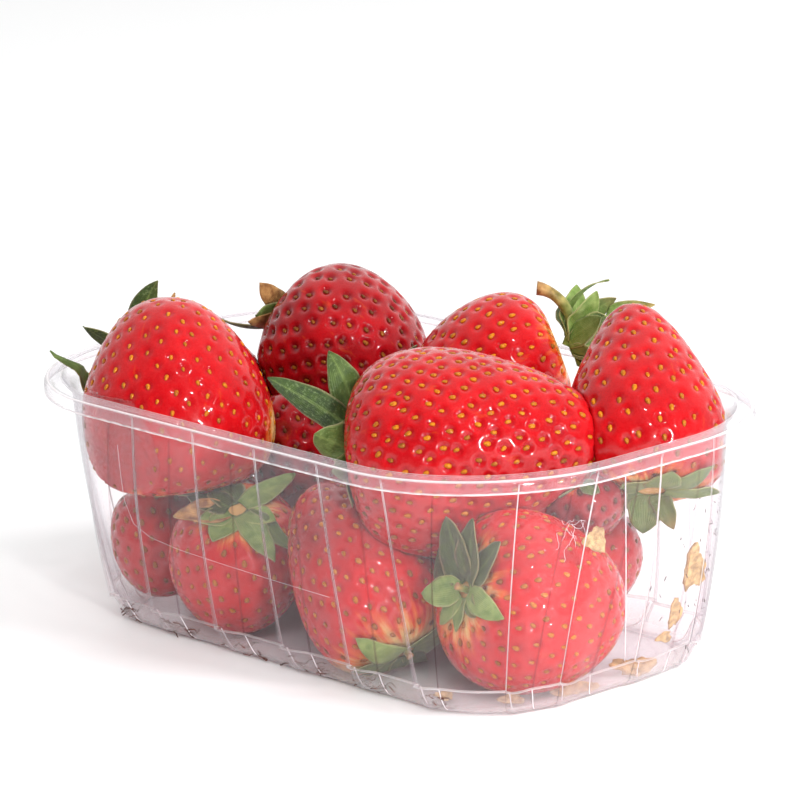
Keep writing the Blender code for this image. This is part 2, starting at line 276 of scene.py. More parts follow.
def skin_material():
    n = Net("strawberry_skin")
    pit, pale, dark = n.attr("pit"), n.attr("pale"), n.attr("dark")
    streak = n.noise(1.0, 3.0, n.attr("lay", "Vector"))
    blotch = n.noise(90.0, 3.0)
    fine = n.noise(900.0, 3.0)
    red = n.mottle(blotch, (0.56, 0.005, 0.008), (0.46, 0.003, 0.006), 0.35)
    red = n.mix(n.fit(fine, 0.45, 0.75, 0.0, 0.35), red, (0.60, 0.009, 0.009))
    deep = n.mottle(blotch, (0.28, 0.003, 0.006), (0.13, 0.003, 0.006), 0.35)
    # Deeper red where 'dark' is high: partly the berry's own ripe colour, partly painted shade on berries deep in the
    # heap.
    red = n.mix(dark, red, deep)
    shoulder = n.fit(n.math("ADD", pale, n.fit(streak, 0.3, 0.7, -0.3, 0.3)), 0.25, 0.95)
    warm = n.mix(n.fit(shoulder, 0.0, 0.6), red, (0.66, 0.13, 0.015))
    skin = n.mix(n.fit(shoulder, 0.45, 1.0), warm, (0.66, 0.42, 0.16))
    # Painted shade in the seed dimples: the skin darkens round each seed, more on the darker berries.
    painted_pit_shade = n.math("MULTIPLY", n.fit(pit, 0.25, 1.0), n.fit(dark, 0.35, 0.9, 0.22, 0.9))
    skin = n.mix(painted_pit_shade, skin, (0.13, 0.002, 0.005))
    rough = n.fit(fine, 0.3, 0.7, 0.20, 0.34)
    bump = n.bump(n.noise(2600.0, 2.0), 0.03 * MM, 0.5)
    return n.principled({
        "Base Color": skin, "Roughness": rough, "Normal": bump, "Specular IOR Level": 0.12,
        "Subsurface Weight": 0.12, "Subsurface Radius": (1.0, 0.12, 0.08), "Subsurface Scale": 2.0 * MM,
        "Coat Weight": 0.6, "Coat Roughness": 0.035,
    })


def seed_material():
    n = Net("strawberry_seed")
    brown, ridge = n.attr("brown"), n.attr("ridge")
    grain = n.noise(2200.0, 2.0)
    gold = n.mottle(grain, (0.58, 0.21, 0.006), (0.38, 0.095, 0.004), 0.35)
    dull = n.mottle(grain, (0.13, 0.035, 0.010), (0.05, 0.013, 0.006), 0.35)
    # Gold seeds turn dull brown: partly their own colour, partly painted shade.
    colour = n.mix(brown, gold, dull)
    # Painted shade at each seed's foot, down in its dimple: the seed darkens from its top to its foot.
    colour = n.mix(n.fit(ridge, 0.15, 0.75, 0.85, 0.0), colour, (0.13, 0.012, 0.005))
    return n.principled({
        "Base Color": colour, "Roughness": n.fit(grain, 0.3, 0.7, 0.25, 0.4), "Specular IOR Level": 0.25,
        "Coat Weight": 0.12, "Coat Roughness": 0.15,
    })


def leaf_material():
    n = Net("strawberry_leaf")
    along, across, dry = n.attr("along"), n.attr("across"), n.attr("dry")
    grain = n.noise(450.0, 4.0)
    fleck = n.fit(n.noise(1500.0, 2.0), 0.56, 0.68)
    green = n.mottle(grain, (0.014, 0.032, 0.006), (0.052, 0.092, 0.016))
    green = n.mix(n.math("MULTIPLY", fleck, 0.55), green, (0.16, 0.22, 0.09))
    # Paler green where 'light' is high: partly the leaf's own colour, partly painted light and shade, lighter on lit
    # leaves and darker on leaves in shadow.
    light = n.attr("light")
    green = n.mix(light, green, n.mottle(grain, (0.15, 0.27, 0.035), (0.36, 0.47, 0.14)))
    rib = n.fit(across, 0.0, 0.16, 1.0, 0.0)
    green = n.mix(n.math("MULTIPLY", rib, 0.30), green, (0.26, 0.36, 0.10))
    edge = n.fit(across, 0.86, 1.0)
    green = n.mix(n.math("MULTIPLY", edge, 0.4), green, (0.50, 0.40, 0.22))
    tan = n.mottle(grain, (0.16, 0.06, 0.02), (0.58, 0.33, 0.12))
    dried = n.math("ADD", n.fit(n.math("MULTIPLY", along, dry), 0.35, 0.8), n.fit(dry, 0.7, 1.0))
    colour = n.mix(dried, green, tan)
    vein = n.node("TexWave", {"Vector": n.attr("vein", "Vector"), "Scale": 1.0, "Distortion": 1.5})
    height = n.math("ADD", n.math("MULTIPLY", vein.outputs["Fac"], 0.4), n.math("MULTIPLY", grain, 0.6))
    bump = n.bump(height, 0.25 * MM, 0.6)
    return n.principled({
        "Base Color": colour, "Roughness": n.fit(grain, 0.3, 0.7, 0.45, 0.65), "Normal": bump,
        "Sheen Weight": 0.06, "Sheen Roughness": 0.4,
    })


def film_material():
    n = Net("clear_film")
    line, haze, shade = n.attr("line"), n.attr("haze"), n.attr("shade")
    streak = n.noise(160.0, 3.0, n.coords((1.0, 1.0, 0.06)))
    speck = n.noise(1400.0, 2.0)
    veil = n.math("ADD", n.fit(streak, 0.3, 0.75, 0.004, 0.032), n.fit(speck, 0.62, 0.8, 0.0, 0.12))
    # The haze attribute is the film's milkiness on walls and rim, and painted light at the foot's base.
    veil = n.math("ADD", veil, haze)
    veil = n.math("MAXIMUM", veil, line)
    thin = n.mottle(streak, (0.990, 0.980, 0.987), (0.998, 0.992, 0.996))
    clear = n.mix(shade, thin, (0.62, 0.46, 0.49))
    side_on = n.math("POWER", n.node("LayerWeight", {"Blend": 0.5}).outputs["Facing"], 5.0)
    clear = n.mix(n.math("MULTIPLY", side_on, 0.9), clear, (0.52, 0.52, 0.55))
    through = n.node("BsdfTransparent", {"Color": clear}).outputs[0]
    tint = n.mix(n.math("MULTIPLY", veil, 7.0), (0.96, 0.80, 0.92), (0.95, 0.94, 0.95))
    white = n.node("BsdfDiffuse", {"Color": tint}).outputs[0]
    glow = n.node("BsdfTranslucent", {"Color": tint}).outputs[0]
    milk = n.blend(0.45, white, glow)
    body = n.blend(veil, through, milk)
    wave = n.bump(streak, 0.5 * MM, 0.25)
    gloss = n.node("BsdfGlossy", {"Color": (1.0, 1.0, 1.0), "Roughness": 0.10, "Normal": wave}).outputs[0]
    graze = n.node("LayerWeight", {"Blend": 0.5, "Normal": wave}).outputs["Facing"]
    shine = n.math("ADD", n.math("MULTIPLY", n.math("POWER", graze, 5.0), 0.5), 0.02)
    return n.done(n.blend(shine, body, gloss))


def plain_material(name, colour, other, scale, roughness):
    n = Net(name)
    mottle = n.noise(scale, 3.0)
    mixed = n.mix(n.fit(mottle, 0.35, 0.65), colour, other)
    return n.principled({"Base Color": mixed, "Roughness": roughness})


# ---------------------------------------------------------------- meshes


def add_piece(name, verts, faces, mat, slot, node, values=()):
    """A mesh piece in the row frame. values: attribute name to one number, or one vector, for each vertex."""
    mesh = bpy.data.meshes.new(name)
    mesh.from_pydata(np.asarray(verts).tolist(), [], [tuple(face) for face in faces])
    for key, data in dict(values).items():
        data = np.asarray(data, np.float32)
        kind, field = ("FLOAT_VECTOR", "vector") if data.ndim == 2 else ("FLOAT", "value")
        mesh.attributes.new(key, kind, "POINT").data.foreach_set(field, data.ravel())
    mesh.shade_smooth()
    mesh.materials.append(mat)
    obj = bpy.data.objects.new(name, mesh)
    scene.collection.objects.link(obj)
    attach(obj, "root")
    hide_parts(node)
    return obj


class Heap:
    """Vertices, faces and attributes of many small things that make one piece."""

    def __init__(self, *keys):
        self.verts, self.faces, self.count = [], [], 0
        self.values = {key: [] for key in keys}

    def add(self, verts, faces, **values):
        self.verts.append(np.asarray(verts))
        self.faces.extend([tuple(int(i) + self.count for i in face) for face in faces])
        for key, data in values.items():
            self.values[key].append(np.broadcast_to(np.asarray(data, float), (len(verts),) + np.shape(data)[1:]))
        self.count += len(verts)

    def piece(self, name, mat, slot, node):
        values = {key: np.concatenate(data) for key, data in self.values.items()}
        return add_piece(name, np.concatenate(self.verts), self.faces, mat, slot, node, values)


def unit(ways):
    return ways / np.maximum(norm(ways, axis=1)[:, None], 1e-12)


def ball_grid(count):
    """Directions and quads of a ball made from a cube with count by count faces on each side."""
    line = np.tan(np.linspace(-1, 1, count + 1) * pi / 4)
    a, b = np.meshgrid(line, line, indexing="ij")
    one = np.ones_like(a)
    sides = [(one, a, b), (-one, b, a), (b, one, a), (a, -one, b), (a, b, one), (b, a, -one)]
    points = np.concatenate([np.stack([p.ravel() for p in side], 1) for side in sides])
    index = np.arange((count + 1) ** 2).reshape(count + 1, count + 1)
    quads = np.stack([index[:-1, :-1], index[1:, :-1], index[1:, 1:], index[:-1, 1:]], -1).reshape(-1, 4)
    quads = np.concatenate([quads + k * (count + 1) ** 2 for k in range(6)])
    _, first, same = np.unique(np.round(points, 6), axis=0, return_index=True, return_inverse=True)
    points = points[first]
    return unit(points), same.reshape(-1)[quads]


def band_faces(rings, sides):
    """Quads that join each closed ring of points with the next."""
    faces = []
    for low in range(0, (rings - 1) * sides, sides):
        for k in range(sides):
            n = (k + 1) % sides
            faces.append((low + k, low + n, low + sides + n, low + sides + k))
    return faces


def thicken(piece, thickness, offset=0.0):
    solid = piece.modifiers.new("thickness", "SOLIDIFY")
    solid.thickness = thickness
    solid.offset = offset
    return solid


def vertex_normals(points, quads):
    across = np.cross(points[quads[:, 2]] - points[quads[:, 0]], points[quads[:, 3]] - points[quads[:, 1]])
    normals = np.zeros_like(points)
    for k in range(4):
        np.add.at(normals, quads[:, k], across)
    return unit(normals)


# ---------------------------------------------------------------- berries


class Berry:
    """One berry: a turned form with soft lumps, star-shaped about its centre."""

    def __init__(self, name, row, seed):
        centre, points_to, length, width, taper, spacing, depth, dark, pale, facet = row
        self.name = name
        self.centre = np.array(centre) * MM
        self.length, self.width = length * MM, width * MM
        self.spacing, self.depth, self.dark, self.pale, self.facet = spacing * MM, depth * MM, dark, pale, facet * MM
        turn = Vector(points_to).to_track_quat("Z", "X").to_matrix()
        self.turn = np.array(turn)
        self.axis = self.turn[:, 2]
        share = np.linspace(0, 1, 241)
        angle = pi * share
        roundness = STEM_ROUNDNESS + (TIP_ROUNDNESS - STEM_ROUNDNESS) * share
        radius = np.maximum(np.sin(angle), 0) ** roundness * (1 + taper * np.cos(angle))
        radius *= self.width / 2 / radius.max()
        along = -np.cos(angle) * self.length / 2
        self.polar = np.arctan2(radius, along)[::-1]
        self.reach = np.hypot(radius, along)[::-1]
        self.rng = np.random.default_rng(seed)
        self.ways = unit(self.rng.normal(size=(9, 3)))
        self.beats = self.rng.uniform(1.6, 5.0, 9)
        self.starts = self.rng.uniform(0, 2 * pi, 9)
        self.sizes = self.rng.uniform(0.5, 1.0, 9) * 0.030 / self.beats

    def surface(self, ways):
        """Distance from the centre to the skin, along unit directions in the berry's own frame."""
        angle = np.arccos(np.clip(ways[:, 2], -1, 1))
        reach = np.interp(angle, self.polar, self.reach)
        lump = np.sin(ways @ self.ways.T * self.beats + self.starts) @ self.sizes
        dip = 1 - 0.07 * np.exp(-(((pi - angle) / 0.30) ** 2))
        return reach * (1 + lump) * dip

    def local(self, points):
        return (points - self.centre) @ self.turn

    def world(self, points):
        return points @ self.turn.T + self.centre

    def depth_of(self, points):
        """How deep points lie inside the skin, roughly, in metres; negative outside."""
        inside = self.local(points)
        far = norm(inside, axis=1)
        return self.surface(inside / np.maximum(far, 1e-9)[:, None]) - far

    def seed_ways(self):
        """Directions of the seeds, on a spiral of equal areas, a little uneven."""
        angle = np.linspace(0, pi, 400)
        reach = np.interp(angle, self.polar, self.reach)
        x, z = reach * np.sin(angle), reach * np.cos(angle)
        step = np.hypot(np.diff(x), np.diff(z)) * (x[1:] + x[:-1]) / 2 * 2 * pi
        area = np.concatenate([[0], np.cumsum(step)])
        count = int(area[-1] / self.spacing**2)
        at = (np.arange(count) + 0.5) / count
        polar = np.interp(at * area[-1], area, angle)
        turn = np.arange(count) * GOLDEN
        ways = np.stack([np.sin(polar) * np.cos(turn), np.sin(polar) * np.sin(turn), np.cos(polar)], 1)
        ways += self.rng.normal(scale=0.10 * self.spacing / self.width * 2, size=ways.shape)
        return unit(ways)[polar < pi - 0.32]


def film_room(points):
    """How far points stand inside the punnet's film, in plan; and the way back to its middle."""
    share = np.clip(wall_share(points[:, 2]), -0.1, 1)
    inset, corner = wall_section(share)[0], wall_section(np.clip(share, 0, 1))[1]
    over = np.abs(points[:, :2]) - np.stack([HALF_LENGTH - inset - corner, HALF_WIDTH - inset - corner], 1)
    outside = norm(np.maximum(over, 0), axis=1)
    room = corner - outside - np.minimum(np.maximum(over[:, 0], over[:, 1]), 0)
    back = -np.sign(points[:, :2]) * np.maximum(over, 0) / np.maximum(outside, 1e-9)[:, None]
    return np.where(points[:, 2] > RIM_HEIGHT, 1.0, room), back


def press(points, normals, berry, others):
    """Pushes the skin back where a neighbour, the film or the floor is in its way."""
    moved = points.copy()
    for other in others:
        if norm(other.centre - berry.centre) > (berry.length + other.length) * 0.62:
            continue
        deep = other.depth_of(points)
        push = np.where(deep > -PRESS_GAP, (deep + PRESS_GAP) / 2, 0)
        moved -= normals * np.minimum(push, 5 * MM)[:, None]
    room, back = film_room(moved)
    short = np.maximum(PRESS_GAP - room, 0)
    moved[:, :2] += back * short[:, None]
    moved[:, 2] = np.maximum(moved[:, 2], FILM + PRESS_GAP)
    return moved


def seed_form():
    """A seed's own shape: a pointed, flattened drop, 8 by 5."""
    verts, faces = [(0.0, 0.0, -0.5)], []
    rings, sides = 4, 8
    for i in range(rings):
        angle = pi * (i + 1) / (rings + 1)
        for k in range(sides):
            turn = 2 * pi * k / sides
            reach = sin(angle)
            lean = 1 + 0.28 * cos(turn)
            verts.append((reach * cos(turn) * lean, reach * sin(turn), -cos(angle) * 0.5))
    verts.append((0.0, 0.0, 0.5))
    for k in range(sides):
        n = (k + 1) % sides
        faces.append((0, 1 + n, 1 + k))
        for i in range(rings - 1):
            a, b = 1 + i * sides, 1 + (i + 1) * sides
            faces.append((a + k, a + n, b + n, b + k))
        last = 1 + (rings - 1) * sides
        faces.append((last + k, last + n, len(verts) - 1))
    return np.array(verts), faces


SEED_VERTS, SEED_FACES = seed_form()
SEED_SIZE = np.array((1.0, 0.64, 0.95)) * MM


def make_berry(berry, others, mat, seeds):
    area = 4 * pi * (berry.length / 2) ** 0.67 * (berry.width / 2) ** 1.33
    ways, quads = ball_grid(int(sqrt(area / 6) / berry.facet))
    smooth = ways * berry.surface(ways)[:, None]
    normals = vertex_normals(smooth, quads)
    seed_ways = berry.seed_ways()
    spots = seed_ways * berry.surface(seed_ways)[:, None]
    nearest = np.full(len(smooth), 1.0)
    for start in range(0, len(spots), 64):
        apart = norm(smooth[:, None] - spots[None, start : start + 64], axis=2)
        nearest = np.minimum(nearest, apart.min(1))
    cell = berry.spacing * 0.56
    bowl = 1 - np.clip(nearest / cell, 0, 1) ** 2 * (3 - 2 * np.clip(nearest / cell, 0, 1))
    hole = np.exp(-((nearest / HOLE_RADIUS) ** 4))
    sink = berry.depth * (0.45 * bowl + 0.55 * hole)
    skin = smooth - normals * sink[:, None]
    stem = np.arccos(np.clip(-ways[:, 2], -1, 1))
    shoulder = 1 - np.clip((stem - 0.30) / max(berry.pale * 3.2, 0.02), 0, 1)
    if berry.name in BLUSH:
        way, wide = BLUSH[berry.name]
        apart = np.arccos(np.clip(ways @ (np.array(Vector(way).normalized()) @ berry.turn), -1, 1))
        shoulder = np.maximum(shoulder, np.clip(1.5 - apart / wide, 0, 1))
    turn = np.arctan2(ways[:, 1], ways[:, 0])
    lay = np.stack([np.cos(turn) * 9, np.sin(turn) * 9, ways[:, 2] * 3], 1)
    values = {
        "pit": np.exp(-((nearest / PIT_SHADE_RADIUS) ** 4)),
        "pale": shoulder if berry.pale > 0.03 else shoulder * 0.4,
        # darkness, with painted shadow added toward the tip of a berry that another berry shades
        "dark": berry.dark + PAINTED_TIP_SHADOW.get(berry.name, 0.0) * np.clip(ways[:, 2] * 0.8 + 0.45, 0, 1),
        "lay": lay,
    }
    world_normals = normals @ berry.turn.T
    pressed = press(berry.world(skin), world_normals, berry, others)
    add_piece("berry_" + berry.name, pressed, quads, mat, *FRUIT, values)
    place_seeds(berry, others, seed_ways, seeds)


def place_seeds(berry, others, ways, seeds):
    step = 0.02
    base = ways * berry.surface(ways)[:, None]
    side = unit(np.cross(ways, (0.0, 0.0, 1.0)))
    down = np.cross(ways, side)
    near = [unit(w) for w in (ways + side * step, ways + down * step)]
    edge = [w * berry.surface(w)[:, None] - base for w in near]
    normals = unit(np.cross(edge[0], edge[1]))
    normals *= np.sign((normals * ways).sum(1))[:, None]
    rest = base - normals * berry.depth * 0.86
    world_normals = normals @ berry.turn.T
    at = press(berry.world(rest), world_normals, berry, others)
    shift = norm(at - berry.world(rest), axis=1)
    lengthwise = unit(edge[1] @ berry.turn.T)
    stem = np.arccos(np.clip(-ways[:, 2], -1, 1))
    for i in range(len(ways)):
        if shift[i] > 1.2 * MM:
            continue
        out = world_normals[i]
        up = lengthwise[i] - out * (lengthwise[i] @ out)
        up /= norm(up)
        lean = berry.rng.normal(scale=0.25)
        cross = np.cross(out, up)
        up, cross = up * cos(lean) + cross * sin(lean), cross * cos(lean) - up * sin(lean)
        size = SEED_SIZE * SEED_SCALE.get(berry.name, 0.95) * berry.rng.uniform(0.82, 1.15)
        verts = at[i] + SEED_VERTS * size @ np.stack([up, cross, out])
        # Seeds turn brown near the calyx, on darker berries and on low berries: partly the seeds' own colour, partly
        # painted shade.
        chance = (berry.dark - 0.2) * 1.3 + (0.35 if berry.centre[2] < 0.03 else 0.0)
        chance = chance + max(0.0, 1.1 - stem[i]) * 0.8 + berry.rng.normal(scale=0.18)
        seeds.add(verts, SEED_FACES, brown=min(max(chance, 0.0), 1.0), ridge=SEED_VERTS[:, 2] + 0.5)


# ---------------------------------------------------------------- leaves


def keep_clear(points, berries, gap):
    """Moves points out of every berry, and inside the film and above its floor."""
    for berry in berries:
        inside = berry.local(points)
        far = norm(inside, axis=1)
        ways = inside / np.maximum(far, 1e-9)[:, None]
        out = berry.surface(ways) + gap
        points = np.where((far < out)[:, None], berry.world(ways * out[:, None]), points)
    room, back = film_room(points)
    points = points.copy()
    points[:, :2] += back * np.maximum(0.6 * MM - room, 0)[:, None]
    points[:, 2] = np.maximum(points[:, 2], FILM + 0.8 * MM)
    return points


LEAF_ROWS, LEAF_COLUMNS = 22, 8
# Leaves at random: how many, and the spans of turn, length, width, rise, curl, sway, lightness, dryness.
LEAF_COUNT = 9
LEAF_SPANS = ((-12, 12), (11, 16), (5, 7), (-10, 15), (-20, 25), (-8, 8), (0.1, 0.6), (0.0, 0.4))


def make_leaf(berry, others, row, leaves, rng):
    turn, length, width, rise, curl, light, dry, sway, roll = (*row, 0, 0)[:9]
    turn, rise, curl, sway, roll = (radians(a) for a in (turn, rise, curl, sway, roll))
    length, width = length * MM, width * MM
    ring = RING.get(berry.name, 2.0) * MM
    neck = NECK.get(berry.name, 0.0) * MM
    spot = np.array([ring * cos(turn), ring * sin(turn), -berry.length / 2 * 0.93 - neck])
    line, tangents = [spot], []
    for i in range(LEAF_ROWS):
        t = (i + 0.5) / LEAF_ROWS
        round_, lift = turn + sway * t, rise + curl * t
        way = np.array([cos(round_) * cos(lift), sin(round_) * cos(lift), -sin(lift)])
        tangents.append(way)
        spot = spot + way * length / LEAF_ROWS
        line.append(spot)
    tangents.append(tangents[-1])
    fold, wave = rng.uniform(0.10, 0.32), rng.uniform(0.3, 1.0)
    starts = rng.uniform(0, 6.28, 3)
    verts, along, across, vein = [], [], [], []
    for i in range(LEAF_ROWS + 1):
        t = i / LEAF_ROWS
        round_ = turn + sway * t
        side = np.array([-sin(round_), cos(round_), 0.0])
        up = np.cross(tangents[i], side)
        up = -up if up[2] > 0 else up
        twist = roll * min(t / 0.3, 1)
        side, up = side * cos(twist) + up * sin(twist), up * cos(twist) - side * sin(twist)
        wide = width / 2 * (0.60 + 0.40 * sin(min(t / 0.4, 1) * pi / 2)) * (1 - t**2.8) ** 0.85 + 0.10 * MM
        wide *= 1 + 0.05 * sin(t * 17 + starts[0]) + (0.05 if i % 2 and 2 < i < LEAF_ROWS - 2 else 0.0)
        for k in range(LEAF_COLUMNS + 1):
            s = 2 * k / LEAF_COLUMNS - 1
            lift = fold * wide * abs(s) ** 1.3 + wave * 0.35 * MM * sin(t * 9 + starts[1] + s * 1.5) * abs(s)
            verts.append(line[i] + side * s * wide + up * lift)
            along.append(t)
            across.append(abs(s))
            vein.append((s * 2.2 + t * 0.5, t * 1.5 + abs(s) * 0.9, 0.0))
    verts = berry.world(np.array(verts))
    own = 0.35 * MM + 0.4 * MM * rng.random()
    for _ in range(3):
        verts = keep_clear(verts, others + [berry], own).reshape(LEAF_ROWS + 1, LEAF_COLUMNS + 1, 3)
        verts[1:-1] = verts[1:-1] * 0.5 + verts[:-2] * 0.25 + verts[2:] * 0.25
        verts = verts.reshape(-1, 3)
    faces = []
    n = LEAF_COLUMNS + 1
    for i in range(LEAF_ROWS):
        for k in range(LEAF_COLUMNS):
            a = i * n + k
            faces.append((a, a + 1, a + n + 1, a + n))
    dry, light = np.full(len(verts), dry), np.full(len(verts), light)
    leaves.add(verts, faces, along=along, across=across, dry=dry, light=light, vein=vein)


def make_calyx(berry, berries, leaves):
    rng = np.random.default_rng(500 + int(berry.length / MM * 10))
    others = [other for other in berries if other is not berry]
    rows = LEAVES.get(berry.name)
    if rows is None:
        rows = []
        for i in range(LEAF_COUNT):
            off, length, width, rise, curl, sway, light, dry = (rng.uniform(*span) for span in LEAF_SPANS)
            rows.append((360 * i / LEAF_COUNT + off, length, width, rise, curl, light, dry, sway, 0))
    for row in rows:
        make_leaf(berry, others, row, leaves, rng)


def tube(points, radii, sides=6):
    """A closed tube along a line of points."""
    points = np.asarray(points, float)
    radii = np.broadcast_to(np.asarray(radii, float), len(points))
    ways = unit(np.gradient(points, axis=0))
    first = unit(np.cross(ways, (0.0, 0.0, 1.0)) + np.cross(ways, (0.31, 0.17, 0.0)))
    second = np.cross(ways, first)
    verts = []
    for i in range(len(points)):
        for k in range(sides):
            a = 2 * pi * k / sides
            verts.append(points[i] + (first[i] * cos(a) + second[i] * sin(a)) * radii[i])
    faces = band_faces(len(points), sides)
    faces.append(tuple(reversed(range(sides))))
    faces.append(tuple(range((len(points) - 1) * sides, len(points) * sides)))
    return np.array(verts), faces


def make_stem(berry, row, stems):
    length, thin, thick, lean, turn = row
    lean, turn = radians(lean), radians(turn)
    spot = np.array([0.0, 0.0, -berry.length / 2 * 0.90 - NECK.get(berry.name, 0.0) * MM])
    rings, sides = 14, 12
    verts, along = [], []
    for i in range(rings + 1):
        t = i / rings
        tilt = lean * (0.4 + 0.9 * t)
        way = np.array([cos(turn) * sin(tilt), sin(turn) * sin(tilt), -cos(tilt)])
        side = np.array([-sin(turn), cos(turn), 0.0])
        up = np.cross(way, side)
        wide = (thin + (thick - thin) * t**2) / 2 * MM * (1 + 0.06 * sin(t * 14))
        for k in range(sides):
            a = 2 * pi * k / sides
            verts.append(spot + (side * cos(a) + up * sin(a)) * wide)
            along.append(t)
        spot = spot + way * length * MM / rings
    faces = band_faces(rings + 1, sides)
    verts.append(verts[-sides] * 0.5 + verts[-sides // 2] * 0.5)
    along.append(1.0)
    faces += [(rings * sides + k, rings * sides + (k + 1) % sides, len(verts) - 1) for k in range(sides)]
    count = len(verts)
    across, dry, light = (np.full(count, value) for value in (0.5, 0.75, 0.6))
    vein = np.zeros((count, 3))
    stems.add(berry.world(np.array(verts)), faces, along=along, across=across, dry=dry, light=light, vein=vein)


# ---------------------------------------------------------------- punnet

STRAIGHT_LONG = 2 * (HALF_LENGTH - WALL_TOP_INSET - TOP_CORNER)
STRAIGHT_SHORT = 2 * (HALF_WIDTH - WALL_TOP_INSET - TOP_CORNER)
ARC = TOP_CORNER * pi / 2
HALF_ROUND = STRAIGHT_LONG + STRAIGHT_SHORT + 2 * ARC


def outline_point(along, inset, corner, push=0.0):
    along = (along + STRAIGHT_LONG / 2) % (2 * HALF_ROUND)
    turned = along >= HALF_ROUND
    along -= HALF_ROUND if turned else 0.0
    reach_x = HALF_LENGTH - inset - corner
    reach_y = HALF_WIDTH - inset - corner
    if along < STRAIGHT_LONG:
        x, y = reach_x * (2 * along / STRAIGHT_LONG - 1), -reach_y - corner - push
    elif along < STRAIGHT_LONG + ARC:
        angle = (along - STRAIGHT_LONG) / TOP_CORNER
        x, y = reach_x + sin(angle) * (corner + push), -reach_y - cos(angle) * (corner + push)
    elif along < STRAIGHT_LONG + ARC + STRAIGHT_SHORT:
        share = (along - STRAIGHT_LONG - ARC) / STRAIGHT_SHORT
        x, y = reach_x + corner + push, reach_y * (2 * share - 1)
    else:
        angle = (along - STRAIGHT_LONG - ARC - STRAIGHT_SHORT) / TOP_CORNER
        x, y = reach_x + cos(angle) * (corner + push), reach_y + sin(angle) * (corner + push)
    return (-x, -y) if turned else (x, y)


def rib_starts():
    half = [-62.4 * MM + i * RIB_PITCH for i in range(6)] + [88.0 * MM + i * 21.0 * MM for i in range(4)]
    return half + [start + HALF_ROUND for start in half]


def stations():
    """(along, share of a rib's width to add, lift, line, shade) for each point of a ring."""
    starts = rib_starts()
    edge = ((-0.24, 0.0, 0.0), (-0.10, 0.0, 1.0), (0.10, 0.03, 1.0), (0.18, 0.10, 0.0), (0.34, 0.55, 0.0))
    crown = ((0.12, 0.93), (0.22, 1.0), (0.34, 0.94), (0.48, 0.78), (0.62, 0.54), (0.76, 0.30), (0.88, 0.11))
    found = []
    for i, start in enumerate(starts):
        following = starts[i + 1] if i + 1 < len(starts) else starts[0] + 2 * HALF_ROUND
        for off, lift, line in edge:
            found.append((start + off * MM, 0.0, lift, line, 0.0))
        for share, lift in crown:
            found.append((start, share, lift, 0.0, 0.0))
        for off, shade in ((-0.4, 0.0), (-0.1, 1.0), (0.2, 0.0)):
            found.append((start + off * MM, 1.0, 0.0, 0.0, shade))
        plain_from = start + RIB_PITCH * RIB_SHARE[1]
        fills = max(int((following - plain_from) / (2.6 * MM)), 2)
        for k in range(fills):
            found.append((plain_from + (following - plain_from) * (k + 1) / (fills + 1), 0.0, 0.0, 0.0, 0.0))
    return found


def punnet_rows():
    """(height, inset, corner, rib depth, height share, haze, line strength) of each ring, base to lip."""
    foot_inset = WALL_FOOT_INSET + STEP_IN
    # At the foot's base the haze is painted light: milk-white at the base edge and fading up the foot, where the
    # floor's contact shade would show.
    base = (
        (0, 1.2, -1.2, 0, 0.15), (0, 0, 0, 0.1, 0.80), (0.5, -1.3, 0.8, 0.5, 0.42),
        (1.5, -2.4, 1.5, 0.9, 0.26), (3.4, -3.2, 2.3, 1.2, 0.16),
    )
    rows = [
        (FILM + up * MM, BASE_INSET + back * MM, BASE_CORNER + wider * MM, depth * MM, 0.0, haze, 0.0)
        for up, back, wider, depth, haze in base
    ]
    crease = ((-0.7, 0, 1.4, 0.08, 0.0), (-0.42, -0.10, 1.5, 0.05, 0.0), (-0.25, -0.3, 1.5, 0.55, 0.6))
    rows += [
        (CREASE_HEIGHT + up * MM, foot_inset + back * MM, FOOT_CORNER - STEP_IN, depth * MM, 0.0, haze, line)
        for up, back, depth, haze, line in crease
    ]
    for i in range(15):
        share = i / 14
        height, depth = between((CREASE_HEIGHT, WALL_TOP), share), between(RIB_DEPTH, share)
        inset, corner = wall_section(share)
        haze, line = 0.55 if i == 0 else 0.01, 0.9 if i < 14 else 0.6
        rows.append((height, inset, corner, depth, share, haze, line))
        if i == 0:
            rows.append((height + 0.22 * MM, inset, corner, depth, 0.005, 0.01, 0.9))
    rim = (
        (2.6, 6.6, 0.02), (1.5, 5.5, 0.02), (0.6, 4.9, 0.02), (0.15, 4.6, 0.03), (0.04, 4.45, 0.55),
        (0.0, 4.25, 0.45), (0.08, 4.05, 0.04), (0.3, 3.7, 0.03), (0.75, 3.1, 0.02), (0.85, 2.4, 0.02),
        (0.8, 1.7, 0.03), (0.58, 1.38, 0.05), (0.5, 1.2, 0.55), (0.45, 0.9, 0.85), (0.58, 0.6, 0.55),
        (0.8, 0.38, 0.05), (1.5, 0.05, 0.03), (2.4, 0.0, 0.03), (3.3, 0.0, 0.05), (3.5, 0.0, 0.55),
        (3.8, 0.0, 0.75),
    )
    return rows + [
        (RIM_HEIGHT - below * MM, inset * MM, RIM_CORNER - inset * MM, 0.0, 1.0, haze, 0.0)
        for below, inset, haze in rim
    ]


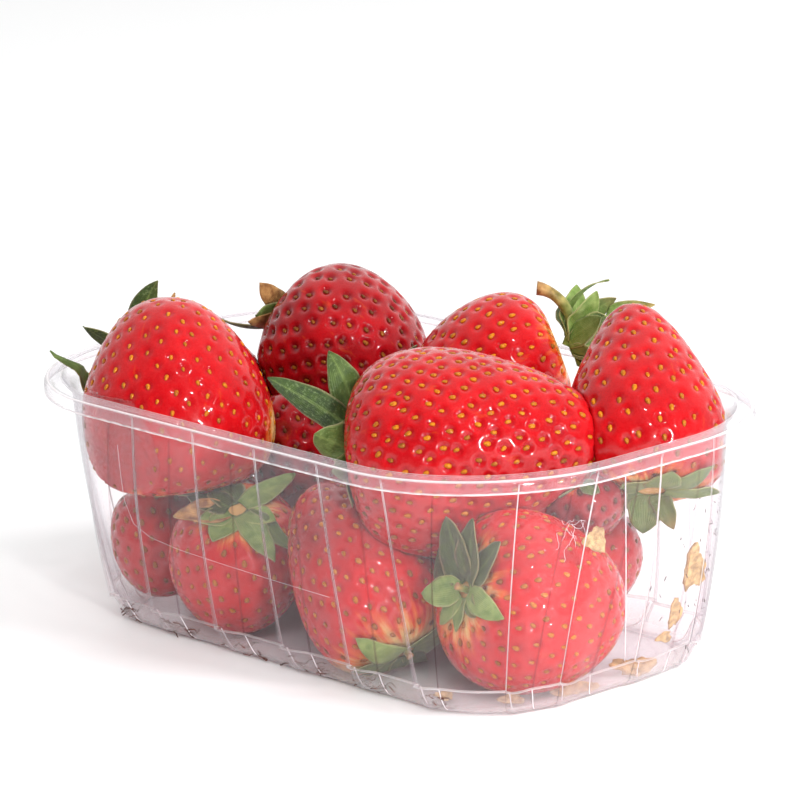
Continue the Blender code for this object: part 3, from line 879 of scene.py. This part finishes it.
def make_punnet(mat):
    points = stations()
    rows = punnet_rows()
    rng = np.random.default_rng(37)
    verts, line, haze, shade = [], [], [], []
    for height, inset, corner, depth, share, veil, strength in rows:
        for along, grow, lift, white, dim in points:
            shift = grow * RIB_PITCH * between(RIB_SHARE, share) + RIB_LEAN * (1 - share)
            x, y = outline_point(along + shift, inset, corner, depth * lift)
            verts.append((x, y, height))
            line.append(white * strength)
            serrated = share == 1.0 and veil > 0.5 and inset < 0.1 * MM
            haze.append(veil * rng.uniform(0.35, 1.2) if serrated else veil)
            shade.append(dim * 0.8 if 0 < share < 1 else 0.0)
    count = len(points)
    faces = band_faces(len(rows), count)
    faces.append(tuple(reversed(range(count))))
    values = {"line": line, "haze": haze, "shade": shade}
    punnet = add_piece("punnet_film", verts, faces, mat, *TRAY, values)
    thicken(punnet, FILM, 1.0).use_even_offset = True


# ---------------------------------------------------------------- small things


def foot_point(along, climb, out=0.0):
    """A point on the foot's outside; climb 0 is the base, 1 the crease."""
    rows = punnet_rows()[1:7]
    at = climb * (len(rows) - 1)
    i = min(int(at), len(rows) - 2)
    height, inset, corner = (between((rows[i][k], rows[i + 1][k]), at - i) for k in range(3))
    x, y = outline_point(along, inset, corner, out)
    return np.array((x, y, height))


def make_foot_lines(mat):
    """The moulded edges of the foot's flutes, two for each rib."""
    lines = Heap()
    for start in rib_starts():
        for off, bend in ((1.2 * MM, 3.2 * MM), (9.6 * MM, 2.6 * MM)):
            base = start + off + RIB_LEAN
            points = []
            for k in range(9):
                climb = 1 - k / 8
                slide = bend * (1 - climb) ** 2.2
                points.append(foot_point(base + slide, climb, 0.45 * MM))
            lines.add(*tube(points, 0.15 * MM, 5))
    lines.piece("foot_lines", mat, *TRAY)


def make_roots(mat):
    """Brown rootlets and fibres that lie along the foot of the near side."""
    rng = np.random.default_rng(71)
    roots = Heap()
    for start in rib_starts()[:6]:
        for off in (3.6 * MM, 10.6 * MM):
            for _ in range(rng.integers(5, 9)):
                along = start + RIB_LEAN + off + rng.normal(scale=1.8 * MM)
                spot = foot_point(along, rng.uniform(0.25, 0.65), 0.15 * MM)
                turn = rng.uniform(0, 2 * pi)
                points = [spot]
                for _ in range(8):
                    turn += rng.normal(scale=0.55)
                    step = np.array((cos(turn), 0.35 * sin(turn), 0.55 * sin(turn * 1.7)))
                    nxt = points[-1] + step * rng.uniform(0.35, 0.75) * MM
                    nxt[2] = min(max(nxt[2], 0.55 * MM), 4.5 * MM)
                    points.append(nxt)
                roots.add(*tube(points, rng.uniform(0.09, 0.19) * MM, 5))
    roots.piece("rootlets", mat, *FRUIT)


def make_chip(chips, centre, size, normal, seed):
    """A dry husk: a ragged, dished plate."""
    rng = np.random.default_rng(seed)
    to_world = np.array(Vector(normal).to_track_quat("Z", "Y").to_matrix())
    rings, sides = 5, 26
    edge = 1 + 0.20 * np.sin(np.arange(sides) * 0.75 + rng.uniform(0, 6)) + rng.uniform(-0.13, 0.13, sides)
    verts, faces = [(0.0, 0.0, 0.0)], []
    for r in range(1, rings + 1):
        for k in range(sides):
            a = 2 * pi * k / sides
            reach = r / rings * (1 + (edge[k] - 1) * (r / rings) ** 2)
            lift = 0.16 * reach**2 + 0.06 * sin(a * 3 + r) * reach + rng.uniform(-0.03, 0.03)
            verts.append((cos(a) * reach * size[0], sin(a) * reach * size[1], lift * min(size)))
    for k in range(sides):
        n = (k + 1) % sides
        faces.append((0, 1 + k, 1 + n))
        for r in range(rings - 1):
            a, b = 1 + r * sides, 1 + (r + 1) * sides
            faces.append((a + k, b + k, b + n, a + n))
    verts = np.array(verts) @ to_world.T + np.array(centre)
    chips.add(verts * MM, faces)


# Dry husks caught between the fruit and the film: centre (mm), half width and height (mm), which way they face.
CHIPS = (
    ((79.6, 24.4, 26.5), (3.1, 5.8), (0.93, -0.1, -0.15)),
    ((78.4, 18.8, 16.0), (1.9, 3.9), (0.95, 0.0, -0.25)),
    ((77.6, 15.8, 10.5), (2.2, 1.5), (0.90, -0.2, -0.35)),
    ((71.0, 12.0, 2.4), (5.4, 2.4), (0.55, -0.45, 0.7)),
    ((70.4, -9.0, 1.9), (5.6, 2.4), (0.55, -0.45, 0.7)),
    ((66.0, -24.0, 1.7), (3.0, 1.6), (0.4, -0.5, 0.75)),
    ((82.4, -10.2, 41.4), (2.8, 2.9), (0.85, -0.45, 0.1)),
    ((52.0, -33.0, 1.7), (2.4, 1.4), (0.2, -0.6, 0.75)),
)


def make_litter(mat, dark):
    chips = Heap()
    for i, (centre, size, normal) in enumerate(CHIPS):
        make_chip(chips, centre, size, normal, 90 + i)
    piece = chips.piece("husks", mat, *FRUIT)
    thicken(piece, HUSK_THICKNESS)
    rng = np.random.default_rng(83)
    grit = Heap()
    for _ in range(70):
        height = rng.uniform(3, 46) * MM
        spot = wall_point(rng.uniform(0.55, 0.98) * HALF_ROUND, height, -0.45 * MM)
        way = rng.normal(size=3) * (0.5, 0.5, 1.0)
        way /= norm(way)
        long = rng.uniform(0.25, 0.7) * MM
        points = [spot - way * long, spot + rng.normal(scale=0.08, size=3) * MM, spot + way * long]
        grit.add(*tube(points, rng.uniform(0.06, 0.13) * MM, 5))
    grit.piece("grit", dark, *FRUIT)


def wall_point(along, height, out=0.0):
    """A point on the wall's inside face, between its ribs; out moves it toward the outside."""
    inset, corner = wall_section(min(max(wall_share(height), 0.0), 1.0))
    x, y = outline_point(along, inset - out, corner)
    return np.array((x, y, height))


def make_marks(mat):
    """A long moulding mark round one end, a short one up the other, and fluff against the film."""
    marks = Heap()
    sweep = (
        (-45.5, 51.0), (-45.4, 44.0), (-45.2, 36.0), (-43.0, 30.0), (-37.5, 27.5), (-28.0, 26.3), (-12.0, 25.6),
        (8.0, 25.0), (25.0, 24.7),
    )
    at = np.linspace(0, len(sweep) - 1, 60)
    along, height = (np.interp(at, range(len(sweep)), [spot[k] for spot in sweep]) for k in range(2))
    marks.add(*tube([wall_point(a * MM, h * MM, 0.25 * MM) for a, h in zip(along, height)], 0.045 * MM, 5))
    upright = [
        wall_point((123.5 - 5.3 * k / 20) * MM, (8.0 + 49.0 * k / 20) * MM, 0.25 * MM) for k in range(21)
    ]
    marks.add(*tube(upright, 0.16 * MM, 5))
    rng = np.random.default_rng(29)
    for _ in range(10):
        a, h = rng.uniform(98, 107), rng.uniform(42, 51)
        turn = rng.uniform(-0.6, 1.2)
        points = []
        for k in range(12):
            points.append(wall_point(a * MM, h * MM, -0.35 * MM))
            turn += rng.normal(scale=0.35)
            a += sin(turn) * 0.45
            h -= cos(turn) * 0.45
        marks.add(*tube(points, 0.05 * MM, 4))
    marks.piece("film_marks", mat, *TRAY)


def make_core(mat):
    ways, quads = ball_grid(18)
    for i, (centre, half) in enumerate(CORE):
        wave = 1 + 0.04 * np.sin(ways @ np.array((5.0, 3.0, 4.0)) + i)
        verts = (ways * wave[:, None] * half + np.array(centre)) * MM
        add_piece("heap_core_%d" % i, verts, quads, mat, *FRUIT)


# ---------------------------------------------------------------- studio


def make_floor():
    n = Net("studio_floor")
    tint = n.noise(3.0, 2.0)
    colour = n.mottle(tint, (0.93, 0.93, 0.93), (0.915, 0.915, 0.915))
    mat = n.principled({"Base Color": colour, "Roughness": 0.6, "Specular IOR Level": 0.2})
    bm = bmesh.new()
    bmesh.ops.create_grid(bm, x_segments=8, y_segments=8, size=6.0)
    mesh = bpy.data.meshes.new("studio_floor")
    bm.to_mesh(mesh)
    bm.free()
    mesh.materials.append(mat)
    floor = bpy.data.objects.new("studio_floor", mesh)
    floor.location.z = -0.0001
    scene.collection.objects.link(floor)


# The camera, as solved for the photograph's viewing angle; lengths in metres, the lens and its sensor in mm.
AZIMUTH, ELEVATION = radians(48.83), radians(14.57)
TARGET = Vector((-71.24, 64.28, 35.0)) * MM
DISTANCE = 1.7015
ROLL = radians(-2.36)
SENSOR = 36.0
LENS = SENSOR * 6467.7 / 800
BACK = Vector((sin(AZIMUTH) * cos(ELEVATION), -cos(AZIMUTH) * cos(ELEVATION), sin(ELEVATION)))


def make_world():
    """Soft light from all round, more of it from behind the object; the camera sees plain white."""
    n = Net("studio", "World")
    scene.world = n.owner
    way = n.node("TexCoord").outputs["Generated"]
    behind = n.node("VectorMath", {0: way, 1: (-BACK.x, -BACK.y, 0.35)}, operation="DOT_PRODUCT").outputs["Value"]
    light = n.node("Background", {"Strength": n.fit(behind, -0.5, 0.9, 0.12, 1.5)})
    seen = n.node("Background", {"Strength": 1.1})
    n.done(n.blend(n.node("LightPath").outputs["Is Camera Ray"], light.outputs[0], seen.outputs[0]))


def add_light(name, azimuth, elevation, distance, size, power, glints=True):
    data = bpy.data.lights.new(name, "AREA")
    data.shape = "DISK"
    data.size = size
    data.energy = power
    light = bpy.data.objects.new(name, data)
    light.visible_glossy = glints
    scene.collection.objects.link(light)
    a, e = radians(azimuth), radians(elevation)
    way = Vector((sin(a) * cos(e), -cos(a) * cos(e), sin(e)))
    light.location = Vector((0, 0, 0.03)) + way * distance
    light.rotation_euler = way.to_track_quat("Z", "Y").to_euler()


def make_camera():
    data = bpy.data.cameras.new("camera")
    data.sensor_width = SENSOR
    data.lens = LENS
    data.clip_start, data.clip_end = 0.1, 30.0
    camera = bpy.data.objects.new("camera", data)
    scene.collection.objects.link(camera)
    camera.location = TARGET + BACK * DISTANCE
    look = BACK.to_track_quat("Z", "Y").to_matrix()
    right, up = look.col[0].copy(), look.col[1].copy()
    look.col[0] = right * cos(ROLL) + up * sin(ROLL)
    look.col[1] = up * cos(ROLL) - right * sin(ROLL)
    camera.rotation_euler = look.to_euler()
    scene.camera = camera


def main():
    scene.view_settings.view_transform = "Standard"
    scene.cycles.use_denoising = True
    scene.cycles.transparent_max_bounces = 32
    make_camera()
    make_world()
    make_floor()
    add_light("key", 112, 38, 1.6, 0.50, 21, False)
    add_light("fill", 42, 44, 1.6, 0.80, 10, False)
    add_light("flash", 70, 12, 1.8, 0.15, 14)
    for name, azimuth, elevation in (("a", 62, 58), ("b", 88, 4), ("d", 100, 26), ("e", 64, 36)):
        add_light("glint_" + name, azimuth, elevation, 1.6, 0.07, 1.5)
    skin, seed_mat, film = skin_material(), seed_material(), film_material()
    berries = [Berry(name, row, 11 + i) for i, (name, row) in enumerate(BERRIES.items())]
    high, low = Heap("brown", "ridge"), Heap("brown", "ridge")
    for i, berry in enumerate(berries):
        make_berry(berry, [other for other in berries if other is not berry], skin, high if i < UPPER_BERRIES else low)
    high.piece("seeds_upper", seed_mat, *FRUIT)
    low.piece("seeds_lower", seed_mat, *FRUIT)
    leaf = leaf_material()
    leaves = Heap("along", "across", "dry", "light", "vein")
    for berry in berries:
        make_calyx(berry, berries, leaves)
    foliage = leaves.piece("leaves", leaf, *FRUIT)
    thicken(foliage, LEAF_THICKNESS)
    stems = Heap("along", "across", "dry", "light", "vein")
    for berry in berries:
        if berry.name in STEMS:
            make_stem(berry, STEMS[berry.name], stems)
    stems.piece("stems", leaf, *FRUIT)
    # The core's near-black red is painted shade in the gaps of the heap.
    make_core(plain_material("heap_heart", (0.11, 0.004, 0.008), (0.05, 0.003, 0.006), 130.0, 0.45))
    make_punnet(film)
    edge = plain_material("moulded_edge", (0.80, 0.76, 0.78), (0.70, 0.64, 0.67), 300.0, 0.35)
    make_foot_lines(edge)
    make_marks(edge)
    make_roots(plain_material("rootlet", (0.17, 0.055, 0.035), (0.06, 0.02, 0.015), 500.0, 0.7))
    husk = plain_material("husk", (0.66, 0.44, 0.20), (0.28, 0.16, 0.06), 700.0, 0.75)
    make_litter(husk, plain_material("grit", (0.10, 0.05, 0.03), (0.02, 0.015, 0.012), 900.0, 0.8))


main()
